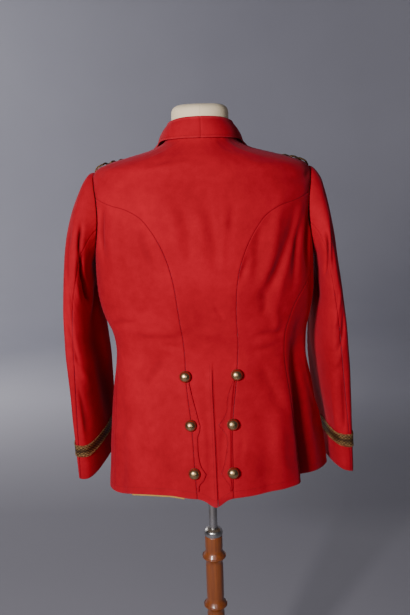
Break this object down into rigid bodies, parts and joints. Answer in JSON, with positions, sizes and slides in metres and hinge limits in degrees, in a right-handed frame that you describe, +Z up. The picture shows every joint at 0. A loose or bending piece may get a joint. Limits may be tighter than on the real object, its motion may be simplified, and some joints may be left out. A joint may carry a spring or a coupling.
{
  "type": "walking-out uniform jacket on a dress form and stand",
  "caption": "Fitted red uniform jacket with curved back seams, slash flaps, ball buttons and gold cuff lace, on a limbless dress form with a turned wooden stand.",
  "frame": {"origin": "middle of the stand's underside, on the floor", "axes": "+Z up along the stand, +Y toward the back of the jacket, +X toward the wearer's left"},
  "size_m": [0.5875, 0.4, 1.484],
  "materials": {
    "red_cloth": "fulled woollen broadcloth, soft dull nap",
    "yellow_lining": "thin twill lining",
    "gold_lace": "tarnished gold thread, woven or corded",
    "button_brass": "worn gilt brass, dulled in the hollows",
    "form_cotton": "cream cotton stretched over the form",
    "nickel": "bright nickel plate",
    "varnished_wood": "orange-brown varnish"
  },
  "bodies": {
    "root": {"jacket_back": "red_cloth", "jacket_side_left": "red_cloth", "jacket_side_right": "red_cloth", "jacket_front_left": "red_cloth", "jacket_front_right": "red_cloth", "lapel_left": "red_cloth", "lapel_right": "red_cloth", "collar": "red_cloth", "sleeve_top_left": "red_cloth", "sleeve_top_right": "red_cloth", "sleeve_under_left": "red_cloth", "sleeve_under_right": "red_cloth", "slash_flap_left": "red_cloth", "slash_flap_right": "red_cloth", "vent_underlap": "red_cloth", "hem_lining": "yellow_lining", "cuff_lace_left": "gold_lace", "cuff_lace_right": "gold_lace", "shoulder_cord_left": "gold_lace", "shoulder_cord_right": "gold_lace", "shoulder_button_left": "button_brass", "shoulder_button_right": "button_brass", "back_button_left_1": "button_brass", "back_button_left_2": "button_brass", "back_button_left_3": "button_brass", "back_button_right_1": "button_brass", "back_button_right_2": "button_brass", "back_button_right_3": "button_brass", "front_button_1": "button_brass", "front_button_2": "button_brass", "front_button_3": "button_brass", "front_button_4": "button_brass", "dress_form": "form_cotton", "stand_rod": "nickel", "stand_ferrule": "nickel", "stand_column": "varnished_wood", "stand_base": "varnished_wood"}
  },
  "joints": []
}
